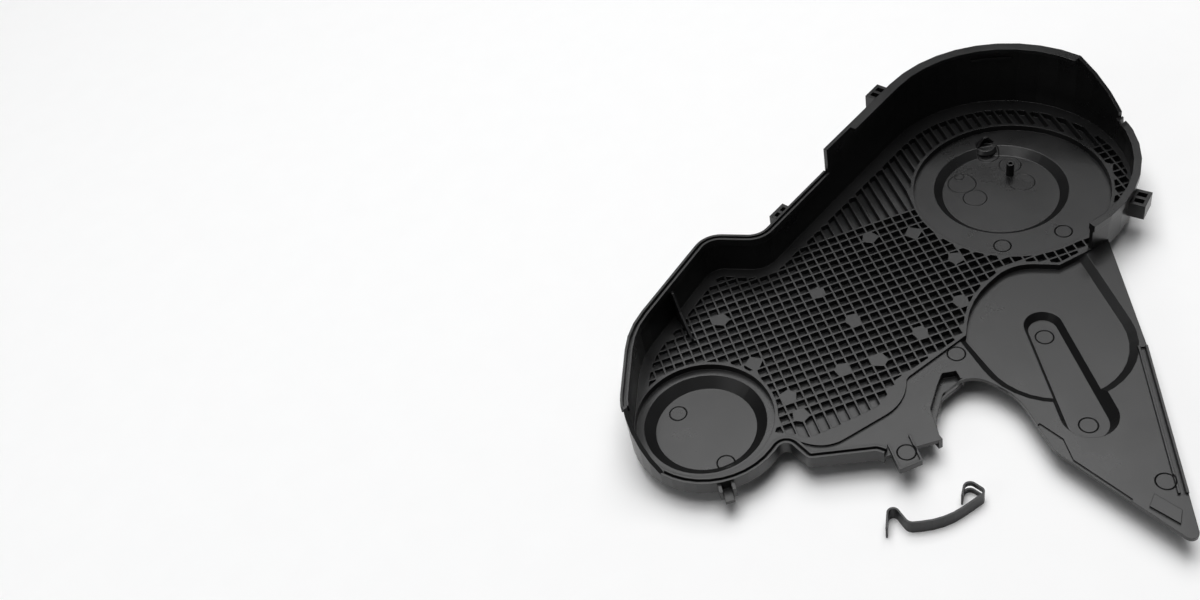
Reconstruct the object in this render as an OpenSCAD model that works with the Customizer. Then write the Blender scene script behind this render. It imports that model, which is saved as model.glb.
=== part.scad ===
/* [Layout] */
// Distance between the two lobe centres; the whole outline follows it
lobe_distance = 265; // [240:1:290]
// Outer radius of the large lobe
cam_lobe_r = 84; // [78:0.5:88]
// Outer radius of the small lobe
pump_lobe_r = 47; // [45:0.5:50]

/* [Shell] */
// Thickness of the moulded skin
skin_t = 2.5; // [2:0.1:3]
// Thickness of the tall side wall
wall_t = 2.6; // [2.2:0.1:3.2]
// Height of the tall wall round the large lobe
tall_wall_h = 54; // [46:0.5:60]
// Height of the lower part of that wall, beside the small lobe
mid_wall_h = 35; // [28:0.5:42]
// Height of the wall below the large lobe
side_wall_h = 27; // [20:0.5:32]
// Height of the rim round the small lobe and the plate
near_rim_h = 9; // [8:0.25:11]
// Width of the inward flange on top of the tall wall
flange_w = 6.5; // [5:0.25:8]
// Thickness of that flange
flange_t = 2.5; // [2:0.1:3.5]

/* [Grooved rim] */
// Width of the grooved rim
rim_w = 4.8; // [4.2:0.1:5.5]
// Depth of the thickened head of the rim
rim_head_h = 5; // [4:0.25:7]
// Width of the sealing groove
groove_w = 1.8; // [1.4:0.1:2.2]
// Depth of the sealing groove
groove_depth = 3; // [2:0.25:3.5]

/* [Rib field] */
// Distance from rib to rib, both ways
rib_pitch = 6.5; // [5.5:0.1:7.5]
// Thickness of a rib
rib_t = 1.2; // [0.9:0.05:1.4]
// Height of the rib tops above the outer face
rib_top = 7; // [6.5:0.1:8]
// Depth of the pockets beside the small lobe
pocket_depth_min = 2.8; // [2:0.1:3.4]
// Depth of the pockets beside the large lobe
pocket_depth_max = 4.5; // [3.8:0.1:4.5]
// Width of the smooth ledge between the tall wall and the pockets
ledge_w = 7; // [5:0.25:8]
// Width of the ridge along the other edges of the field
ridge_w = 2; // [1.8:0.1:2.6]
// Radius of the round islands in the field
island_r = 4.6; // [3.5:0.1:5.5]

/* [Discs] */
// Radius of the floor round the large disc
cam_bay_r = 62; // [59:0.5:64]
// Radius of the large disc at its foot
cam_foot_r = 44; // [40:0.5:47]
// Radius of the large disc's face
cam_disc_r = 38.5; // [34:0.5:39]
// Height that the large disc stands out
cam_disc_h = 4.5; // [3:0.25:5.5]
// Radius of the floor round the small disc
pump_bay_r = 41.5; // [41:0.25:42.5]
// Radius of the small disc at its foot
pump_foot_r = 38; // [36:0.5:39.5]
// Radius of the small disc's face
pump_disc_r = 31.5; // [28:0.5:33]
// Height that the small disc stands out
pump_disc_h = 5.5; // [4:0.25:6.5]
// Radius of the hollow post
post_r = 2.6; // [2.2:0.1:3.2]
// Radius of the hole in the post
post_hole_r = 1.2; // [0.9:0.1:1.5]
// Height of the post above the disc's inner face
post_h = 10; // [7:0.5:14]

/* [Wing and plate] */
// Height of the step from the main face to the wing and plate
lower_step = 3; // [2:0.1:3.5]
// Width of the sloped band round the bulge
slope_w = 5; // [4:0.25:6.5]
// Radius of the round bulge above the wing
bulge_r = 43; // [40:0.5:45]
// Radius of the capsule's upper end, at its foot
capsule_top_r = 13.5; // [11:0.5:14]
// Radius of the capsule's lower end, at its foot
capsule_end_r = 16.5; // [14:0.5:17]
// Width of the capsule's sloped side
capsule_slope_w = 5; // [3:0.25:6]
// Height that the capsule stands out
capsule_h = 5; // [4:0.25:6]
// Width of the channel along the wing's free edge
channel_w = 5.5; // [4.5:0.1:7]
// Thickness of the channel's walls
channel_wall_t = 1.3; // [1:0.1:1.6]
// Height of the channel's walls above the wing
channel_wall_h = 1.6; // [1:0.1:3]
// Depth of the channel below the wing's inner face
channel_depth = 1.4; // [0.8:0.1:1.6]
// Drop of the joggled lip at the notch
lip_drop = 5; // [3:0.25:6]

/* [Connector rails] */
// Height of the two rails on the large disc
rail_h = 8; // [6:0.25:9]
// Length of the rails
rail_length = 30; // [24:0.5:34]
// Distance between the rails' inner faces
rail_gap = 17; // [14:0.5:20]
// Thickness of a rail
rail_t = 2; // [1.6:0.1:2.6]
// Width of the inward lip on each rail
rail_lip_w = 3; // [2:0.25:4]

/* [Clip lugs] */
// Width of a clip lug along the wall
lug_w = 14; // [11:0.5:17]
// Reach of a clip lug away from the wall
lug_reach = 9; // [7:0.25:11]
// Height of a clip lug
lug_h = 11; // [8:0.25:13]
// Thickness of a lug's cheeks
lug_t = 2.2; // [1.8:0.1:2.6]

/* [Spring clip] */
// Width of the clip's steel strip
strip_w = 9.5; // [7:0.25:12]
// Thickness of the strip
strip_t = 1.1; // [0.9:0.05:1.4]
// Length of the slot in the strip's returned end
slot_l = 7; // [5:0.25:7.5]
// Width of that slot
slot_w = 3.2; // [2.5:0.1:4]

/* [Hidden] */

// How far a cut runs past the face that it opens
overrun = skin_t * 0.4;
// Largest turn between two neighbouring points of an arc
arc_step = 10;
// How far a piece runs into its neighbour
bite = wall_t * 0.45;
// Points nearer than this are one
least_gap = skin_t * 0.04;
// Facets round a large circle, a boss and a small hole
disc_facets = 60;
boss_facets = 24;
hole_facets = 16;

cam_centre = [lobe_distance * 1.011, lobe_distance * 0.011];
disc_centre = [lobe_distance, 0];
bay_centre = [lobe_distance * 1.004, -lobe_distance * 0.027];
pump_centre = [0, 0];
rim_centre = [lobe_distance * 0.002, -lobe_distance * 0.011];
bulge_centre = [lobe_distance * 0.679, -lobe_distance * 0.408];

// Directions, at the large lobe, of its lower edge, its end and its straight side
cam_wing_a = -101;
cam_gap_a = -24;
cam_end_a = 3.4;
cam_side_a = 98.8;
// Directions, at the small lobe, of its straight side, the rim's and the high wall's end, its foot, the neck
pump_side_a = 135.7;
rim_end_a = 147;
pump_end_a = 150;
pump_foot_a = 192;
pump_neck_a = 284;
// Directions between which the bulge's side is round
band_from_a = 161;
band_to_a = 332;

// Corners of the wavy side between the lobes: x, y and corner radius over the lobe distance
wave_shares = [
  [0.415, 0.238, 0.053],
  [0.332, 0.342, 0.060],
  [0.008, 0.249, 0.226]
];
// Places along the straight side where the wall steps down and where the flange ends
wall_step_share = 0.679;
flange_end_share = 0.778;
// Lower edge of the main face, from the neck to the bulge
low_edge_shares = [
  [0.083, -0.168, 0.019],
  [0.125, -0.257, 0.083],
  [0.330, -0.295, 0.113],
  [0.381, -0.249, 0.023],
  [0.562, -0.262, 0]
];
// Ridge over the bulge, down to its corner below the large lobe
bulge_top_shares = [
  [0.649, -0.198, 0.226],
  [0.800, -0.194, 0.106],
  [0.866, -0.279, 0]
];
// Ends of the pockets along the neck
neck_shares = [
  [0.085, -0.150, 0],
  [0.121, -0.208, 0],
  [0.185, -0.230, 0.038],
  [0.283, -0.257, 0.038],
  [0.377, -0.236, 0]
];
// Inner border of the crescent step on the outer face
crescent_shares = [
  [0.075, -0.142, 0],
  [0.125, -0.179, 0.100],
  [0.221, -0.217, 0.200],
  [0.370, -0.257, 0]
];
// Outer edge of the plate, from the neck to the tab
plate_shares = [
  [0.079, -0.174, 0.019],
  [0.075, -0.250, 0.019],
  [0.187, -0.340, 0.008],
  [0.193, -0.356, 0]
];
// The edge goes on round the tab's foot and the notch to the wing's tip
notch_shares = [
  [0.257, -0.385, 0],
  [0.306, -0.411, 0],
  [0.345, -0.365, 0.008],
  [0.402, -0.332, 0.019],
  [0.487, -0.335, 0.057],
  [0.506, -0.445, 0.150],
  [0.442, -0.596, 0.045],
  [0.4435, -0.936, 0.015],
  [0.792, -0.564, 0.300],
  [1.008, -0.304, 0]
];
// The joggled lip at the notch
lip_shares = [
  [0.306, -0.411, 0],
  [0.345, -0.365, 0.008],
  [0.402, -0.332, 0.019],
  [0.466, -0.334, 0],
  [0.478, -0.309, 0],
  [0.447, -0.287, 0.010],
  [0.411, -0.303, 0.015],
  [0.351, -0.336, 0.015],
  [0.309, -0.399, 0]
];
// Islands in the rib field
island_shares = [
  [0.226, 0.189], [0.185, 0.034], [0.438, 0.079], [0.430, -0.042], [0.381, -0.170], [0.653, 0.113],
  [0.732, 0.045], [0.732, -0.087], [0.634, -0.185], [0.170, -0.094], [0.151, -0.151], [1.200, -0.155],
  [0.306, -0.128], [0.502, -0.181]
];

function xy(p) = [p.x, p.y];
function cross_of(a, b) = a.x * b.y - a.y * b.x;
function unit(v) = v / norm(v);
function left(v) = [-v.y, v.x];
function spin(v, a) = [v.x * cos(a) - v.y * sin(a), v.x * sin(a) + v.y * cos(a)];
function heading(a) = [cos(a), sin(a)];
function reversed(list) = [for (i = [len(list) - 1:-1:0]) list[i]];
function meet(p, u, q, v) = p + u * cross_of(q - p, v) / cross_of(u, v);
function placed(shares) = [for (s = shares) s * lobe_distance];
function lift(p, z) = [p.x, p.y, z];

// Corners that carry a circle's arc from one direction to another
function arc_corners(centre, r, from, to) =
  let (n = ceil(abs(to - from) / 60), half = (to - from) / n / 2)
  [for (i = [0:n - 1]) let (p = centre + heading(from + half * (2 * i + 1)) * r / cos(half)) [p.x, p.y, r]];
function arc_end(centre, r, a) = let (p = centre + heading(a) * r) [p.x, p.y, 0];

// Corners moved to the left of the path, with their radii kept parallel
function moved(c, d, closed) =
  let (n = len(c))
  [for (i = [0:n - 1])
    let (
      first = !closed && i == 0,
      last = !closed && i == n - 1,
      back = first ? unit(xy(c[1]) - xy(c[0])) : unit(xy(c[i]) - xy(c[(i + n - 1) % n])),
      ahead = last ? back : unit(xy(c[(i + 1) % n]) - xy(c[i])),
      turn = cross_of(back, ahead),
      p = xy(c[i]) + left(back) * d,
      q = xy(c[i]) + left(ahead) * d,
      m = abs(turn) < 0.001 ? p : meet(p, back, q, ahead)
    )
    [m.x, m.y, c[i].z == 0 ? 0 : max(c[i].z - sign(turn) * d, 0)]
  ];

// Points of one rounded corner
function corner_points(before, c, after) =
  let (
    u = unit(xy(c) - xy(before)),
    v = unit(xy(after) - xy(c)),
    turn = atan2(cross_of(u, v), u * v),
    reach = c.z * tan(abs(turn) / 2),
    side = sign(turn),
    centre = xy(c) - u * reach + left(u) * c.z * side,
    n = max(1, ceil(abs(turn) / arc_step))
  )
  c.z == 0 || abs(turn) < 1
    ? [xy(c)]
    : [for (k = [0:n]) centre - spin(left(u), turn * k / n) * c.z * side];

// Points without those that fall on the next one
function distinct(points) =
  let (n = len(points))
  [for (i = [0:n - 1]) if (i == n - 1 || norm(points[i] - points[i + 1]) > least_gap) points[i]];
function rounded(c) =
  let (n = len(c))
  distinct([for (i = [0:n - 1]) each corner_points(c[(i + n - 1) % n], c[i], c[(i + 1) % n])]);
function rounded_path(c) =
  let (n = len(c))
  distinct([for (i = [0:n - 1]) each i == 0 || i == n - 1 ? [xy(c[i])] : corner_points(c[i - 1], c[i], c[i + 1])]);

// Strip between two distances to the left of a path
function band(c, near, far) =
  concat(rounded_path(moved(c, near, false)), reversed(rounded_path(moved(c, far, false))));

side_start = arc_end(cam_centre, cam_lobe_r, cam_side_a);
side_direction = left(heading(cam_side_a));
function on_side(share) =
  lift(xy(side_start) + side_direction * (side_start.x - share * lobe_distance) / -side_direction.x, 0);
wave = placed(wave_shares);
low_edge = placed(low_edge_shares);
plate_edge = placed(plate_shares);
notch_edge = placed(notch_shares);
bulge_top = placed(bulge_top_shares);
neck_end = arc_end(rim_centre, pump_lobe_r, pump_neck_a);
cam_low_end = arc_end(cam_centre, cam_lobe_r, cam_wing_a);

// Arcs of the two lobes, shared by all that follows them, with the point between each two
side_arc = arc_corners(cam_centre, cam_lobe_r, cam_wing_a, cam_gap_a);
gap_point = arc_end(cam_centre, cam_lobe_r, cam_gap_a);
end_arc = arc_corners(cam_centre, cam_lobe_r, cam_gap_a, cam_end_a);
end_point = arc_end(cam_centre, cam_lobe_r, cam_end_a);
top_arc = arc_corners(cam_centre, cam_lobe_r, cam_end_a, cam_side_a);
pump_side_point = arc_end(rim_centre, pump_lobe_r, pump_side_a);
rim_arc = arc_corners(rim_centre, pump_lobe_r, pump_side_a, rim_end_a);
rim_end_point = arc_end(rim_centre, pump_lobe_r, rim_end_a);
foot_arc = arc_corners(rim_centre, pump_lobe_r, pump_side_a, pump_foot_a);
foot_point = arc_end(rim_centre, pump_lobe_r, pump_foot_a);
near_arc = arc_corners(rim_centre, pump_lobe_r, pump_foot_a, pump_neck_a);

// Wall paths, each with the inside of the cover on its left
flange_path = [end_point, each top_arc, on_side(flange_end_share)];
tall_path = [gap_point, each end_arc, end_point, each top_arc, on_side(wall_step_share)];
mid_rim_path = [on_side(wall_step_share), each wave, pump_side_point, each rim_arc, rim_end_point];
mid_path = [on_side(wall_step_share), each wave, pump_side_point, each foot_arc, foot_point];
near_path = [foot_point, each near_arc, neck_end, each plate_edge];
side_path = [cam_low_end, each side_arc, gap_point];
low_path = [neck_end, each low_edge, each bulge_top, cam_low_end];
main_corners = [
  each low_edge,
  each bulge_top,
  cam_low_end,
  each side_arc,
  gap_point,
  each end_arc,
  end_point,
  each top_arc,
  side_start,
  each wave,
  pump_side_point,
  each foot_arc,
  foot_point,
  each near_arc,
  neck_end
];
sheet_points = [
  each rounded_path([neck_end, each plate_edge, each notch_edge]),
  each reversed(rounded_path(moved([neck_end, each low_edge, cam_low_end], ridge_w / 2, false)))
];
crescent_points = [
  each rounded_path(placed(crescent_shares)),
  each reversed(rounded_path(moved([for (i = [0:3]) low_edge[i]], -bite, false)))
];

// The bulge's straight side, from the end of its round band to the large lobe
straight_from = bulge_centre + heading(band_to_a) * bulge_r;
straight_dir = left(heading(band_to_a));
straight_l = norm(xy(cam_low_end) - straight_from);

// Directions, borders and steps of the two rib families
rib_a = 65;
cross_rib_a = -23;
rib_dir = heading(rib_a);
cross_dir = heading(cross_rib_a);
rib_skew = sin(rib_a - cross_rib_a);
rib_step = rib_pitch / rib_skew;
rib_half = rib_t / rib_skew / 2;
field_origin = [lobe_distance * 0.513, lobe_distance * 0.219];
comb_share = 0.502;
// The ledge is wider on the upper side of the large lobe
field_centre = [lobe_distance, -lobe_distance * 0.011];
field_lobe_r = cam_lobe_r + wall_t;
low_comb_row = -round(comb_share * lobe_distance / rib_step);
// Slots are followed this far above the upper border
slot_steps = ceil(lobe_distance * 0.33 / rib_step);
columns = [-ceil(lobe_distance * 0.62 / rib_step):ceil(lobe_distance * 0.92 / rib_step)];
rows = [low_comb_row:-1];
low_rows = [low_comb_row - ceil(lobe_distance * 0.24 / rib_step):low_comb_row - 1];

// The pocket field's border: the walls' ledge, and the ridges along the other edges
field_border = [
  each rounded_path(placed(neck_shares)),
  each rounded_path(moved([
    low_edge[4],
    each bulge_top,
    cam_low_end
  ], ridge_w, false)),
  each rounded_path(moved([
    arc_end(field_centre, field_lobe_r, cam_wing_a),
    each arc_corners(field_centre, field_lobe_r, cam_wing_a, cam_side_a),
    each wave,
    arc_end(rim_centre, pump_lobe_r, pump_side_a)
  ], wall_t + ledge_w, false))
];
border_n = len(field_border);
// Rounds that no pocket enters: the two bays and the islands
holes = [
  [bay_centre, cam_bay_r + ridge_w],
  [pump_centre, pump_bay_r + ridge_w],
  each [for (s = island_shares) [s * lobe_distance, island_r]]
];

function grid_point(u, v) = field_origin + cross_dir * u * rib_step + rib_dir * v * rib_step;
function cell(u, v0, v1) =
  let (h = rib_half / rib_step)
  [grid_point(u + h, v0 + h), grid_point(u + 1 - h, v0 + h), grid_point(u + 1 - h, v1 - h), grid_point(u + h, v1 - h)];
function crosses(p, a, b) =
  (a.y > p.y) != (b.y > p.y) && p.x < a.x + (b.x - a.x) * (p.y - a.y) / (b.y - a.y);
function in_border(p) =
  len([for (i = [0:border_n - 1]) if (crosses(p, field_border[i], field_border[(i + 1) % border_n])) 1]) % 2 == 1;
function gap_to(p, a, b) =
  let (t = min(max((p - a) * (b - a) / ((b - a) * (b - a)), 0), 1)) norm(p - a - (b - a) * t);
function in_field(p) = len([for (h = holes) if (norm(p - h[0]) < h[1]) 1]) == 0 && in_border(p);

// Half-planes that border the field near a point: a place and a direction into the field
function borders_near(p, reach) = [
  for (i = [0:border_n - 1])
    let (a = field_border[i], b = field_border[(i + 1) % border_n])
    if (norm(b - a) > 0.01 && gap_to(p, a, b) < reach) [a, left(unit(b - a))],
  for (hole = holes)
    let (n = unit(p - hole[0]))
    if (abs(norm(p - hole[0]) - hole[1]) < reach) [hole[0] + n * hole[1], n]
];
function clipped_once(poly, q, n) =
  let (m = len(poly))
  m == 0 ? [] : [for (i = [0:m - 1])
    let (
      a = poly[i],
      b = poly[(i + 1) % m],
      da = (a - q) * n,
      db = (b - q) * n
    )
    each concat(
      da >= 0 ? [a] : [],
      (da >= 0) != (db >= 0) ? [a + (b - a) * da / (da - db)] : []
    )
  ];
function clipped(poly, cuts, i) =
  i == len(cuts) ? poly : clipped(clipped_once(poly, cuts[i][0], cuts[i][1]), cuts, i + 1);
// Corners that stand well apart
function cleaned(poly) =
  let (m = len(poly))
  m == 0 ? [] : [for (i = [0:m - 1]) if (norm(poly[i] - poly[(i + 1) % m]) > rib_t * 0.25) poly[i]];
function area_of(poly) =
  len(poly) < 3 ? 0 : let (m = len(poly)) sum([for (i = [0:m - 1]) cross_of(poly[i], poly[(i + 1) % m])]) / 2;
function sum(v) = [for (i = 0, s = v[0]; i < len(v); i = i + 1, s = s + (i < len(v) ? v[i] : 0)) s][len(v) - 1];
function mean_of(poly) = [sum([for (p = poly) p.x]), sum([for (p = poly) p.y])] / len(poly);

// Square pockets between the borders, and long slots beyond them
min_pocket = (rib_pitch - rib_t) * (rib_pitch - rib_t) / 5;
function wanted(poly) = abs(area_of(poly)) > min_pocket;
square_pockets = [
  for (u = columns, v = rows)
    let (p = grid_point(u + 0.5, v + 0.5), poly = cleaned(clipped(cell(u, v, v + 1), borders_near(p, rib_step * 0.8), 0)))
    if ((in_field(p) || len(borders_near(p, rib_step * 0.8)) > 0) && wanted(poly)
      && in_field(mean_of(poly))) poly
];
function slot_run(u, from, to) =
  let (inside = [for (v = [from:0.5:to]) if (in_field(grid_point(u + 0.5, v))) v])
  len(inside) == 0 ? [] : [min(inside), max(inside)];
function slot(u, from, to) =
  let (run = slot_run(u, from, to))
  len(run) == 0 ? [] : let (
    v0 = run[0] == from ? from : run[0] - 0.5,
    v1 = run[1] == to ? to : run[1] + 0.5,
    first_cuts = run[0] == from ? [] : borders_near(grid_point(u + 0.5, run[0]), rib_step * 0.8),
    last_cuts = run[1] == to ? [] : borders_near(grid_point(u + 0.5, run[1]), rib_step * 0.8)
  )
  cleaned(clipped(cell(u, v0, v1), concat(first_cuts, last_cuts, bay_cuts(u, run)), 0));
// Borders of the large bay beside a slot that runs past it
function bay_cuts(u, run) =
  let (
    along = (bay_centre - grid_point(u + 0.5, 0)) * rib_dir / rib_step,
    q = grid_point(u + 0.5, min(max(along, run[0]), run[1])),
    n = unit(q - bay_centre)
  )
  norm(q - bay_centre) < cam_bay_r + ridge_w + rib_step ? [[bay_centre + n * (cam_bay_r + ridge_w), n]] : [];
upper_slots = [for (u = columns) let (poly = slot(u, 0, slot_steps)) if (wanted(poly)) poly];
lower_slots = [for (u = columns) let (poly = slot(u, low_rows[0], low_comb_row)) if (wanted(poly)) poly];

pocket_depth_gain = (pocket_depth_max - pocket_depth_min) / (lobe_distance * 0.7);
function pocket_depth_at(p) =
  min(pocket_depth_max, max(pocket_depth_min, pocket_depth_min + (p.x - lobe_distance * 0.1) * pocket_depth_gain));

crescent_depth = lower_step * 0.5;
rim_out = wall_t * 0.4;
groove_in = (rim_w - groove_w) / 2;
skin_lean = skin_t * 0.5;
post_place = lobe_distance * [1.068, 0.026];
capsule_top = lobe_distance * [0.706, -0.360];
capsule_end = lobe_distance * [0.562, -0.589];

cam_end_y = cam_centre.y + cam_lobe_r * sin(cam_end_a);
// The high wall's end slopes down to the gap, and the side wall starts in a point: place and height
end_points = [
  [cam_end_y, tall_wall_h],
  [cam_end_y - lobe_distance * 0.132, tall_wall_h * 0.63],
  [cam_end_y - lobe_distance * 0.151, tall_wall_h * 0.57],
  [cam_end_y - lobe_distance * 0.157, side_wall_h * 0.75],
  [cam_end_y - lobe_distance * 0.163, side_wall_h * 0.98],
  [cam_end_y - lobe_distance * 0.20, side_wall_h + overrun],
  [cam_end_y - lobe_distance * 0.20, tall_wall_h + overrun],
  [cam_end_y, tall_wall_h + overrun]
];
foot_points = [
  [rim_centre.y + pump_lobe_r * sin(pump_end_a), mid_wall_h],
  [rim_centre.y + pump_lobe_r * sin(pump_foot_a), near_rim_h],
  [rim_centre.y + pump_lobe_r * sin(pump_foot_a) - bite, near_rim_h],
  [rim_centre.y + pump_lobe_r * sin(pump_foot_a) - bite, mid_wall_h + overrun],
  [rim_centre.y + pump_lobe_r * sin(pump_end_a), mid_wall_h + overrun]
];
// The bulge's outline: up to the ridge, down its left side, round, and up its straight side
bulge_left = low_edge[4];
left_from = bulge_centre + heading(band_from_a) * bulge_r;
left_l = norm(xy(bulge_left) - left_from);
bulge_ridge = moved([bulge_left, each bulge_top], ridge_w / 2, false);
function bulge_outline(grow) = [
  for (i = [3:-1:0]) xy(bulge_ridge[i]),
  left_from + left(heading(band_from_a)) * -left_l + heading(band_from_a) * grow,
  for (a = [band_from_a:arc_step:band_to_a]) bulge_centre + heading(a) * (bulge_r + grow),
  straight_from + heading(band_to_a) * grow,
  straight_from + straight_dir * straight_l + heading(band_to_a) * grow
];
lip_points = rounded(placed(lip_shares));

// The lip's wall runs along its back
lip_back = [for (i = [3, 4, 5, 6, 7, 8, 0]) placed(lip_shares)[i]];
// Tab beyond the plate's edge: round its free sides
tab_shares = [
  [0.219, -0.340, 0],
  [0.187, -0.404, 0.004],
  [0.239, -0.423, 0.004],
  [0.272, -0.358, 0]
];
// Recess and thin step at the wing's inner edge, and the block at its tip
inset_shares = [[0.440, -0.530], [0.477, -0.530], [0.477, -0.589], [0.447, -0.638], [0.430, -0.638]];
strip_shares = [[0.4435, -0.777, 0], [0.4435, -0.638, 0]];
tip_shares = [[0.453, -0.810], [0.483, -0.799], [0.487, -0.859], [0.459, -0.875]];
// The channel follows the wing's free edge
channel_end = xy(notch_edge[8]);
channel_dir = unit(xy(notch_edge[7]) - channel_end);
channel_path = [lift(channel_end + channel_dir * lobe_distance * 0.385, 0), lift(channel_end, 0)];
gusset_foot = lobe_distance * [0.164, 0.281];
gusset_a = -107;
gusset_points = [
  [-bite, 0],
  [lobe_distance * 0.098, 0],
  [lobe_distance * 0.098, rib_top + rib_t],
  [lobe_distance * 0.040, mid_wall_h * 0.57],
  [wall_t, mid_wall_h - rim_head_h],
  [-bite, mid_wall_h - rim_head_h]
];
hood_place = lobe_distance * [1.102, 0.132];
hood_r = cam_foot_r * 0.19;
hood_h = cam_foot_r * 0.2;
hood_a = -110;
catch_path = [
  arc_end(cam_centre, cam_lobe_r, 35),
  each arc_corners(cam_centre, cam_lobe_r, 35, 54),
  arc_end(cam_centre, cam_lobe_r, 54)
];
rail_place = lobe_distance * [1.098, 0.057];
rail_a = 68;
lug_side = lobe_distance * [1.117, -0.291];
lug_mid = xy(on_side(0.521));
lug_high = xy(on_side(0.930));
lug_near = rim_centre + heading(-120) * pump_lobe_r;
// The frame's origin: middle of the cover in plan, at the level of the rails' lowest edge
lowest_z = -cam_disc_h - rail_h;
main_xs = [for (p = rounded(main_corners)) p.x];
highest_y = lug_high.y + lug_reach * sin(cam_side_a) + lug_w / 2 * abs(cos(cam_side_a));
lowest_y = min([for (p = sheet_points) p.y]);
frame_place = [(min(main_xs) + max(main_xs)) / 2, (highest_y + lowest_y) / 2, lowest_z];
// The clip's bow, from the hook's tip to the slotted end: x, y and corner radius over its span
clip_span = lug_w * 3.7;
clip_place = lobe_distance * [0.1245, -0.457];
clip_path = [for (c = [
  [-0.220, -0.045, 0],
  [0.050, 0.180, 0.050],
  [-0.030, -0.155, 0.100],
  [0.270, -0.405, 0.860],
  [0.850, -0.480, 0.060],
  [0.830, -0.180, 0.080],
  [0.620, -0.310, 0]
]) c * clip_span];

module cover() {
  color([0.20, 0.20, 0.21]) translate(-frame_place) difference() {
    union() {
      slab();
      walls();
      discs();
      lower_sheet();
      fittings();
    }
    for (poly = concat(square_pockets, upper_slots, lower_slots)) {
      translate([0, 0, rib_top - pocket_depth_at(mean_of(poly))])
        linear_extrude(pocket_depth_max + overrun / 2) polygon(poly);
    }
    end_cut();
    foot_cut();
    grooves();
    translate([0, 0, -overrun]) linear_extrude(crescent_depth + overrun) polygon(crescent_points);
  }
}

// Skin and rib slab, with the two bays
module slab() {
  difference() {
    linear_extrude(rib_top) polygon(rounded(moved(main_corners, bite, true)));
    translate(lift(bay_centre, skin_t)) cylinder(h = rib_top, r = cam_bay_r, $fn = disc_facets);
    translate(lift(pump_centre, skin_t)) cylinder(h = rib_top, r = pump_bay_r, $fn = disc_facets);
    translate(lift(disc_centre, -overrun)) cylinder(h = rib_top, r = cam_foot_r, $fn = disc_facets);
    translate([0, 0, -overrun]) cylinder(h = rib_top, r = pump_foot_r, $fn = disc_facets);
  }
}

module walls() {
  linear_extrude(tall_wall_h) polygon(band(tall_path, 0, wall_t));
  linear_extrude(mid_wall_h) polygon(band(mid_path, 0, wall_t));
  linear_extrude(side_wall_h) polygon(band(side_path, 0, wall_t));
  linear_extrude(near_rim_h) polygon(band(near_path, 0, rim_w));
  linear_extrude(rib_top) polygon(band(low_path, 0, ridge_w));
  translate([0, 0, tall_wall_h - flange_t]) linear_extrude(flange_t) polygon(band(flange_path, bite, flange_w));
  translate([0, 0, mid_wall_h - rim_head_h])
    linear_extrude(rim_head_h) polygon(band(mid_rim_path, -rim_out, rim_w - rim_out));
  translate([0, 0, side_wall_h - rim_head_h])
    linear_extrude(rim_head_h) polygon(band(side_path, -rim_out, wall_t + rim_out));
}

// Slopes of the high wall's two ends, cut as seen from the side
module end_cut() {
  translate([lobe_distance * 1.15, 0, 0]) rotate([90, 0, 90])
    linear_extrude(lobe_distance * 0.25) polygon(end_points);
}

module foot_cut() {
  translate([-lobe_distance * 0.25, 0, 0]) rotate([90, 0, 90])
    linear_extrude(lobe_distance * 0.14) polygon(foot_points);
}

module grooves() {
  translate([0, 0, mid_wall_h - groove_depth])
    linear_extrude(groove_depth + overrun) polygon(band(mid_rim_path, groove_in - rim_out, groove_in + groove_w - rim_out));
  translate([0, 0, near_rim_h - groove_depth])
    linear_extrude(groove_depth + overrun) polygon(band(near_path, groove_in, groove_in + groove_w));
}

// Round disc that stands out, as a shell with a sloping side
module disc_shell(foot_r, face_r, h) {
  rotate_extrude($fn = disc_facets) polygon([
    [0, -h],
    [face_r, -h],
    [foot_r, 0],
    [foot_r + bite, 0],
    [foot_r + bite, skin_t],
    [foot_r - skin_lean, skin_t],
    [face_r - skin_lean, skin_t - h],
    [0, skin_t - h]
  ]);
}

module discs() {
  translate(lift(disc_centre, 0)) disc_shell(cam_foot_r, cam_disc_r, cam_disc_h);
  disc_shell(pump_foot_r, pump_disc_r, pump_disc_h);
  translate(lift(post_place, skin_t - cam_disc_h - bite)) difference() {
    cylinder(h = post_h + bite, r = post_r, $fn = boss_facets);
    translate([0, 0, post_h * 0.4]) cylinder(h = post_h, r = post_hole_r, $fn = hole_facets);
  }
}

// Pan of the bulge: as wide as its floor at one level, and as the slope's end at the next
module pan(floor_z, grow, top_t) {
  hull() {
    translate([0, 0, floor_z]) linear_extrude(skin_t * 0.1) polygon(bulge_outline(grow));
    translate([0, 0, floor_z + lower_step]) linear_extrude(top_t) polygon(bulge_outline(grow + slope_w));
  }
}

// Plate and wing, with the bulge and the capsule formed in them
module lower_sheet() {
  difference() {
    union() {
      difference() {
        translate([0, 0, lower_step]) linear_extrude(skin_t) polygon(sheet_points);
        translate([0, 0, lower_step - overrun]) linear_extrude(skin_t + overrun * 2) polygon(lip_points);
      }
      pan(0, 0, skin_t * 0.5);
      capsule_form(-capsule_h, lower_step + skin_t * 0.5);
    }
    pan(skin_t, -skin_lean, overrun);
    translate([0, 0, skin_t]) capsule_form(-capsule_h, lower_step + overrun);
    translate([0, 0, lower_step + skin_t - channel_depth])
      linear_extrude(skin_t) polygon(band(channel_path, channel_wall_t, channel_w - channel_wall_t));
    translate([0, 0, lower_step + skin_t * 0.6]) linear_extrude(skin_t) polygon(placed(inset_shares));
    translate([0, 0, lower_step + skin_t * 0.6]) linear_extrude(skin_t) polygon(band(placed(strip_shares), -bite, wall_t));
  }
}

// The capsule's form between two levels, as wide as its foot at the upper one
module capsule_form(from, to) {
  hull() {
    for (end = [[capsule_top, capsule_top_r], [capsule_end, capsule_end_r]]) {
      translate(lift(end[0], from))
        cylinder(h = to - from, r1 = end[1] - capsule_slope_w, r2 = end[1], $fn = 32);
    }
  }
}

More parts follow.
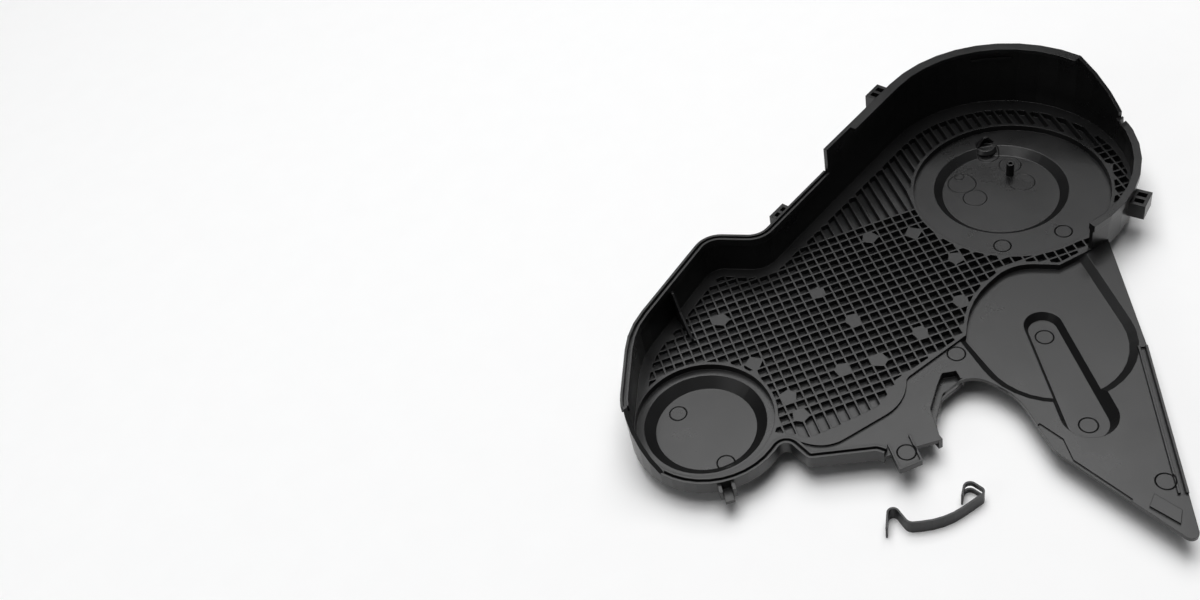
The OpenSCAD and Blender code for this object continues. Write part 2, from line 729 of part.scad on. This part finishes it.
module fittings() {
  lip();
  tab();
  channel();
  gusset();
  hood();
  catch_bar();
  rails();
  lug(lug_side, -71.8, side_wall_h * 0.28);
  lug(lug_mid, cam_side_a, mid_wall_h - rim_head_h - lug_h);
  lug(lug_high, cam_side_a, tall_wall_h - flange_t - lug_h);
  small_lug();
}

// Lip at the notch, lower than the plate, with the wall that joins them
module lip() {
  translate([0, 0, lower_step - lip_drop]) linear_extrude(skin_t) polygon(lip_points);
  translate([0, 0, lower_step - lip_drop])
    linear_extrude(lip_drop + skin_t) polygon(band(lip_back, -bite, skin_t - bite));
}

module tab() {
  translate([0, 0, lower_step]) linear_extrude(skin_t) polygon(rounded(placed(tab_shares)));
  translate([0, 0, lower_step])
    linear_extrude(skin_t + channel_wall_h) polygon(band(placed(tab_shares), 0, channel_wall_t));
}

// Two low walls along the wing's free edge
module channel() {
  translate([0, 0, lower_step]) linear_extrude(skin_t + channel_wall_h) polygon(band(channel_path, 0, channel_wall_t));
  translate([0, 0, lower_step]) linear_extrude(skin_t + channel_wall_h)
    polygon(band(channel_path, channel_w - channel_wall_t, channel_w));
  translate([0, 0, lower_step]) linear_extrude(skin_t + channel_wall_h * 0.8) polygon(placed(tip_shares));
}

// Web between the wall and the rib field
module gusset() {
  translate(lift(gusset_foot, 0)) rotate([90, 0, gusset_a]) translate([0, 0, -rib_t * 0.6])
    linear_extrude(rib_t * 1.2) polygon(gusset_points);
}

// Moulded hood beside the large disc, open to one side
module hood() {
  translate(lift(hood_place, 0)) difference() {
    cylinder(h = hood_h, r1 = hood_r, r2 = hood_r * 0.2, $fn = boss_facets);
    translate([0, 0, -overrun]) cylinder(h = hood_h, r1 = hood_r - rib_t, r2 = hood_r * 0.1, $fn = boss_facets);
    rotate([0, 0, hood_a]) translate([0, -hood_r, skin_t]) cube([hood_r * 2, hood_r * 2, hood_h]);
  }
}

module catch_bar() {
  translate([0, 0, tall_wall_h * 0.82]) linear_extrude(rib_t) polygon(band(catch_path, wall_t - bite, wall_t * 1.7));
}

// Two facing rails on the large disc's outer face
module rails() {
  translate(lift(rail_place, -cam_disc_h - rail_h)) rotate([0, 0, rail_a])
    for (side = [0, 1]) {
      mirror([0, side, 0]) translate([-rail_length / 2, rail_gap / 2, 0]) {
        cube([rail_length, rail_t, rail_h + bite]);
        translate([0, rail_t - rail_lip_w - rail_t, 0]) cube([rail_length, rail_lip_w + rail_t, rail_t]);
      }
    }
}

// Lug with two upright pockets for a spring clip's end
module lug(place, a, z) {
  translate(lift(place, z)) rotate([0, 0, a - 90]) difference() {
    translate([-lug_w / 2, -bite, 0]) cube([lug_w, lug_reach + bite, lug_h]);
    for (side = [0, 1]) {
      mirror([side, 0, 0]) translate([lug_t / 2, wall_t * 0.4, lug_t])
        cube([lug_w / 2 - lug_t * 1.5, lug_reach - lug_t - wall_t * 0.4, lug_h]);
    }
  }
}

module small_lug() {
  translate(lift(lug_near, 0)) rotate([0, 0, -120]) {
    for (side = [0, 1]) {
      mirror([0, side, 0]) translate([-bite, lug_w * 0.2, 0]) cube([lug_reach * 0.6 + bite, lug_t, near_rim_h * 0.8]);
    }
    translate([-bite, -lug_w * 0.2, 0]) cube([lug_reach + bite, lug_w * 0.4, lug_t]);
  }
}

// Strip bent to a bow, with a hook at one end and a slotted return at the other
module spring_clip() {
  color([0.12, 0.12, 0.13]) translate(lift(clip_place, lowest_z) - frame_place) difference() {
    linear_extrude(strip_w) polygon(band(clip_path, 0, strip_t));
    translate([clip_span * 0.74, -clip_span * 0.44, strip_w / 2 - slot_w / 2])
      cube([slot_l * 1.6, clip_span * 0.36, slot_w]);
  }
}

cover();
spring_clip();
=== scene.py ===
"""Looks of a car engine's timing belt cover and its spring clip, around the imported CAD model."""

import bpy
from mathutils import Matrix, Vector


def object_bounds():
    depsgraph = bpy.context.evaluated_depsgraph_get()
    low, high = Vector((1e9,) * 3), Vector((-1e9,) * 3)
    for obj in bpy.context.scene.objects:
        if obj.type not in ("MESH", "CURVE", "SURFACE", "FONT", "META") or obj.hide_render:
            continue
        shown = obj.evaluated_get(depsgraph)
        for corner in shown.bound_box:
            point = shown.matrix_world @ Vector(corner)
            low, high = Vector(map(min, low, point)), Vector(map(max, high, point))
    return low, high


bl_info = {
    "name": "Timing cover",
    "version": (1, 0, 0),
    "blender": (4, 5, 0),
    "location": "View3D > Sidebar > Cover",
    "description": "Materials, floor, light and camera for a moulded timing belt cover",
    "category": "Object",
}

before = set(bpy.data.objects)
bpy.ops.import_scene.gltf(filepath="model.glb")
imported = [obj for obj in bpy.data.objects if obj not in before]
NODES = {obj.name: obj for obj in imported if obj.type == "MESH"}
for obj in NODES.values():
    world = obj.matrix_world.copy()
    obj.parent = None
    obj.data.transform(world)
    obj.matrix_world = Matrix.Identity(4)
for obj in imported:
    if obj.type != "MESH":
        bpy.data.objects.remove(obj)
BOUNDS_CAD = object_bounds()
LOW = Vector(BOUNDS_CAD[0])
HIGH = Vector(BOUNDS_CAD[1])

# Places in plan of the round marks that the mould's ejector pins leave, in metres
EJECTOR_MARKS = (
    (-0.1567, 0.0947),
    (-0.1617, 0.0467),
    (0.0713, 0.0387),
    (0.1053, 0.0187),
    (-0.0177, -0.0003),
    (0.0313, -0.0253),
    (-0.0047, -0.0833),
    (-0.0907, -0.0273),
    (-0.0137, -0.1373),
)
EJECTOR_RADIUS = 0.0052
EJECTOR_LINE = 0.0005

# Faint rounds cut into the large disc's inner face: place in plan and radius, in metres
DISC_ROUNDS = (
    (0.1035, 0.0985, 0.0091),
    (0.1076, 0.1045, 0.0031),
    (0.0983, 0.0831, 0.0076),
    (0.1377, 0.0865, 0.0071),
    (0.1293, 0.0699, 0.0082),
    (0.1365, 0.1042, 0.0072),
)
DISC_LINE = 0.0004

# Soft lights: place from the middle of the part, width, height, share of the key light's power
LIGHTS = {
    "overhead": ((-0.2, 0.2, 2.8), 2.0, 2.0, 1.0),
    "far_softbox": ((0.8, 0.85, 2.8), 2.3, 2.3, 1.1),
    "left_fill": ((-1.7, 0.3, 0.9), 1.2, 0.8, 0.06),
}

# Camera at the photograph's viewing angle, in metres, with its focal length in the picture's pixels
CAMERA_FOCAL_PX = 1314.34
CAMERA_PLACE = (-0.41866, -0.3352, 0.63202)
CAMERA_RIGHT = (0.76324, -0.61968, -0.18295)
CAMERA_AHEAD = (0.33144, 0.61856, -0.71241)
PICTURE_WIDTH_PX = 1200.0
SENSOR_WIDTH_MM = 36.0


class Sockets:
    """Short names for the node sockets of one material."""

    def __init__(self, material):
        material.use_nodes = True
        self.tree = material.node_tree
        self.tree.nodes.clear()
        self.out = self.tree.nodes.new("ShaderNodeOutputMaterial")
        self.coords = self.tree.nodes.new("ShaderNodeTexCoord").outputs["Object"]

    def link(self, source, target):
        """Joins a socket to the target, or sets the target to a number or colour."""
        if isinstance(source, (int, float, tuple)):
            target.default_value = source
        else:
            self.tree.links.new(source, target)

    def math(self, operation, a, b=0.0):
        node = self.tree.nodes.new("ShaderNodeMath")
        node.operation = operation
        self.link(a, node.inputs[0])
        self.link(b, node.inputs[1])
        return node.outputs[0]

    def noise(self, scale, detail, roughness, vector=None):
        node = self.tree.nodes.new("ShaderNodeTexNoise")
        self.link(self.coords if vector is None else vector, node.inputs["Vector"])
        node.inputs["Scale"].default_value = scale
        node.inputs["Detail"].default_value = detail
        node.inputs["Roughness"].default_value = roughness
        return node.outputs["Fac"]

    def ramp(self, value, low, high, to_low=0.0, to_high=1.0):
        node = self.tree.nodes.new("ShaderNodeMapRange")
        node.clamp = True
        self.link(value, node.inputs["Value"])
        node.inputs["From Min"].default_value = low
        node.inputs["From Max"].default_value = high
        node.inputs["To Min"].default_value = to_low
        node.inputs["To Max"].default_value = to_high
        return node.outputs["Result"]

    def tint(self, value, dark, pale):
        node = self.tree.nodes.new("ShaderNodeMix")
        node.data_type = "RGBA"
        self.link(value, node.inputs["Factor"])
        node.inputs["A"].default_value = (*dark, 1.0)
        node.inputs["B"].default_value = (*pale, 1.0)
        return node.outputs["Result"]

    def ring(self, place, radius, width):
        """1 on a circle round a place in plan, fading to 0 at the given width to either side."""
        split = self.tree.nodes.new("ShaderNodeSeparateXYZ")
        self.link(self.coords, split.inputs[0])
        dx = self.math("SUBTRACT", split.outputs[0], place[0])
        dy = self.math("SUBTRACT", split.outputs[1], place[1])
        squares = self.math("ADD", self.math("MULTIPLY", dx, dx), self.math("MULTIPLY", dy, dy))
        off = self.math("ABSOLUTE", self.math("SUBTRACT", self.math("SQRT", squares), radius))
        return self.ramp(off, 0.0, width, 1.0, 0.0)

    def rings(self, rounds, width):
        """1 on each of the circles, given by place in plan and radius."""
        height = 0.0
        for x, y, radius in rounds:
            height = self.math("MAXIMUM", self.ring((x, y), radius, width), height)
        return height

    def bevel(self, radius):
        """Normal with every sharp edge seen as a small round of the given radius."""
        node = self.tree.nodes.new("ShaderNodeBevel")
        node.samples = 4
        node.inputs["Radius"].default_value = radius
        return node.outputs["Normal"]

    def bump(self, height, distance, strength, normal=None):
        node = self.tree.nodes.new("ShaderNodeBump")
        node.inputs["Strength"].default_value = strength
        node.inputs["Distance"].default_value = distance
        self.link(height, node.inputs["Height"])
        if normal is not None:
            self.link(normal, node.inputs["Normal"])
        return node.outputs["Normal"]

    def finish(self, colour, roughness, normal, metallic=0.0, specular=0.5):
        """Ends the material in one shader."""
        node = self.tree.nodes.new("ShaderNodeBsdfPrincipled")
        self.link(colour, node.inputs["Base Color"])
        self.link(roughness, node.inputs["Roughness"])
        self.link(normal, node.inputs["Normal"])
        node.inputs["Metallic"].default_value = metallic
        node.inputs["Specular IOR Level"].default_value = specular
        self.tree.links.new(node.outputs[0], self.out.inputs["Surface"])


def plastic_material(props):
    """Black glass-filled plastic: satin, finely grained, slightly uneven from moulding."""
    material = bpy.data.materials.new("black_plastic_look")
    s = Sockets(material)
    clouds = s.noise(22.0, 5.0, 0.6)
    flow = s.noise(6.0, 3.0, 0.5)
    grain = s.noise(1900.0, 2.0, 0.6)
    shade = s.math("ADD", s.math("MULTIPLY", clouds, 0.6), s.math("MULTIPLY", flow, 0.4))
    dark = tuple(c * props.plastic_tone for c in (0.92, 0.92, 0.94))
    pale = tuple(c * props.plastic_tone for c in (1.5, 1.5, 1.53))
    rough = s.ramp(clouds, 0.3, 0.7, props.plastic_roughness - 0.05, props.plastic_roughness + 0.06)
    normal = s.bump(grain, 0.00012, 0.35, s.bevel(props.edge_round))
    normal = s.bump(clouds, 0.0006, 0.15, normal)
    marks = s.rings([(x, y, EJECTOR_RADIUS) for x, y in EJECTOR_MARKS], EJECTOR_LINE)
    normal = s.bump(marks, 0.0006, 1.0, normal)
    normal = s.bump(s.rings(DISC_ROUNDS, DISC_LINE), 0.0004, 0.8, normal)
    s.finish(s.tint(s.ramp(shade, 0.35, 0.65), dark, pale), rough, normal)
    return material


def steel_material():
    """Black-oxidised spring steel strip, faintly drawn along its length."""
    material = bpy.data.materials.new("spring_steel_look")
    s = Sockets(material)
    stretch = s.tree.nodes.new("ShaderNodeMapping")
    stretch.inputs["Scale"].default_value = (60.0, 60.0, 900.0)
    s.link(s.coords, stretch.inputs["Vector"])
    lines = s.noise(1.0, 3.0, 0.6, stretch.outputs["Vector"])
    clouds = s.noise(90.0, 4.0, 0.6)
    colour = s.tint(s.ramp(clouds, 0.3, 0.7), (0.018, 0.018, 0.019), (0.05, 0.05, 0.052))
    rough = s.ramp(clouds, 0.3, 0.7, 0.36, 0.5)
    s.finish(colour, rough, s.bump(lines, 0.0001, 0.3), metallic=0.5)
    return material


def floor_material():
    """Pale matt floor that catches a soft shadow."""
    material = bpy.data.materials.new("floor_look")
    s = Sockets(material)
    speckle = s.noise(40.0, 2.0, 0.5)
    colour = s.tint(speckle, (0.93, 0.93, 0.93), (0.95, 0.95, 0.95))
    s.finish(colour, 0.9, s.bump(speckle, 0.0001, 0.1), specular=0.2)
    return material


def give(node_name, material):
    for slot in NODES[node_name].material_slots:
        slot.material = material


class CoverProperties(bpy.types.PropertyGroup):
    plastic_tone: bpy.props.FloatProperty(
        name="Plastic tone",
        description="Base reflectance of the black plastic",
        default=0.007,
        min=0.005,
        max=0.2,
    )
    plastic_roughness: bpy.props.FloatProperty(
        name="Plastic roughness",
        description="Roughness of the moulded surface",
        default=0.3,
        min=0.1,
        max=0.9,
    )
    edge_round: bpy.props.FloatProperty(
        name="Edge round",
        description="Radius that the moulding's edges seem to have",
        default=0.0005,
        min=0.0,
        max=0.002,
        unit="LENGTH",
    )
    key_power: bpy.props.FloatProperty(
        name="Key light",
        description="Power of the large soft light overhead",
        default=46.0,
        min=0.0,
        unit="POWER",
    )
    floor_size: bpy.props.FloatProperty(
        name="Floor size",
        description="Edge of the square floor",
        default=3.6,
        min=2.0,
        unit="LENGTH",
    )


class COVER_OT_moulding(bpy.types.Operator):
    """Gives the cover its black plastic"""

    bl_idname = "cover.moulding"
    bl_label = "Cover moulding"

    def execute(self, context):
        give("cover", plastic_material(context.scene.cover_props))
        return {"FINISHED"}


class COVER_OT_spring_clip(bpy.types.Operator):
    """Gives the spring clip its black steel"""

    bl_idname = "cover.spring_clip"
    bl_label = "Spring clip"

    def execute(self, context):
        give("spring_clip", steel_material())
        return {"FINISHED"}


def area_light(name, place, aim, width, height, power):
    data = bpy.data.lights.new(name, "AREA")
    data.shape = "RECTANGLE"
    data.size = width
    data.size_y = height
    data.energy = power
    lamp = bpy.data.objects.new(name, data)
    lamp.location = place
    lamp.rotation_euler = (aim - place).to_track_quat("-Z", "Y").to_euler()
    bpy.context.scene.collection.objects.link(lamp)


def studio_world():
    """Faint light from all round, and plain white where the camera sees past the floor."""
    world = bpy.data.worlds.new("studio")
    world.use_nodes = True
    tree = world.node_tree
    tree.nodes.clear()
    out = tree.nodes.new("ShaderNodeOutputWorld")
    path = tree.nodes.new("ShaderNodeLightPath")
    lit = tree.nodes.new("ShaderNodeBackground")
    lit.inputs["Color"].default_value = (0.97, 0.98, 1.0, 1.0)
    lit.inputs["Strength"].default_value = 0.08
    seen = tree.nodes.new("ShaderNodeBackground")
    seen.inputs["Color"].default_value = (1.0, 1.0, 1.0, 1.0)
    seen.inputs["Strength"].default_value = 1.0
    mix = tree.nodes.new("ShaderNodeMixShader")
    tree.links.new(path.outputs["Is Camera Ray"], mix.inputs["Fac"])
    tree.links.new(lit.outputs[0], mix.inputs[1])
    tree.links.new(seen.outputs[0], mix.inputs[2])
    tree.links.new(mix.outputs[0], out.inputs["Surface"])
    return world


def photo_camera():
    data = bpy.data.cameras.new("camera")
    data.sensor_fit = "HORIZONTAL"
    data.sensor_width = SENSOR_WIDTH_MM
    data.lens = CAMERA_FOCAL_PX / PICTURE_WIDTH_PX * SENSOR_WIDTH_MM
    data.clip_start = 0.01
    data.clip_end = 50.0
    camera = bpy.data.objects.new("camera", data)
    right = Vector(CAMERA_RIGHT).normalized()
    ahead = Vector(CAMERA_AHEAD)
    ahead = (ahead - right * ahead.dot(right)).normalized()
    turn = Matrix((right, right.cross(ahead), -ahead)).transposed().to_4x4()
    camera.matrix_world = Matrix.Translation(Vector(CAMERA_PLACE)) @ turn
    return camera


class COVER_OT_stage(bpy.types.Operator):
    """Sets the floor, the soft studio light and the camera"""

    bl_idname = "cover.stage"
    bl_label = "Cover stage"

    def execute(self, context):
        props = context.scene.cover_props
        bpy.ops.mesh.primitive_plane_add(size=props.floor_size, location=(0.0, 0.0, LOW.z))
        floor = context.object
        floor.name = "floor"
        floor.data.materials.append(floor_material())

        middle = (LOW + HIGH) / 2
        for name, (offset, width, height, share) in LIGHTS.items():
            area_light(name, middle + Vector(offset), middle, width, height, props.key_power * share)

        scene = context.scene
        scene.world = studio_world()
        scene.view_settings.view_transform = "Standard"
        scene.view_settings.look = "None"
        scene.view_settings.exposure = 0.0
        scene.view_settings.gamma = 1.0

        camera = photo_camera()
        scene.collection.objects.link(camera)
        scene.camera = camera
        return {"FINISHED"}


class COVER_PT_panel(bpy.types.Panel):
    """Sidebar panel with the cover's settings"""

    bl_idname = "COVER_PT_panel"
    bl_label = "Timing cover"
    bl_space_type = "VIEW_3D"
    bl_region_type = "UI"
    bl_category = "Cover"

    def draw(self, context):
        props = context.scene.cover_props
        for name in ("plastic_tone", "plastic_roughness", "edge_round", "key_power", "floor_size"):
            self.layout.prop(props, name)
        for operator in (COVER_OT_moulding, COVER_OT_spring_clip, COVER_OT_stage):
            self.layout.operator(operator.bl_idname)


CLASSES = (CoverProperties, COVER_OT_moulding, COVER_OT_spring_clip, COVER_OT_stage, COVER_PT_panel)


def register():
    for cls in CLASSES:
        bpy.utils.register_class(cls)
    bpy.types.Scene.cover_props = bpy.props.PointerProperty(type=CoverProperties)


def unregister():
    del bpy.types.Scene.cover_props
    for cls in reversed(CLASSES):
        bpy.utils.unregister_class(cls)


def main():
    register()
    bpy.ops.cover.moulding()
    bpy.ops.cover.spring_clip()
    bpy.ops.cover.stage()


if __name__ == "__main__":
    main()
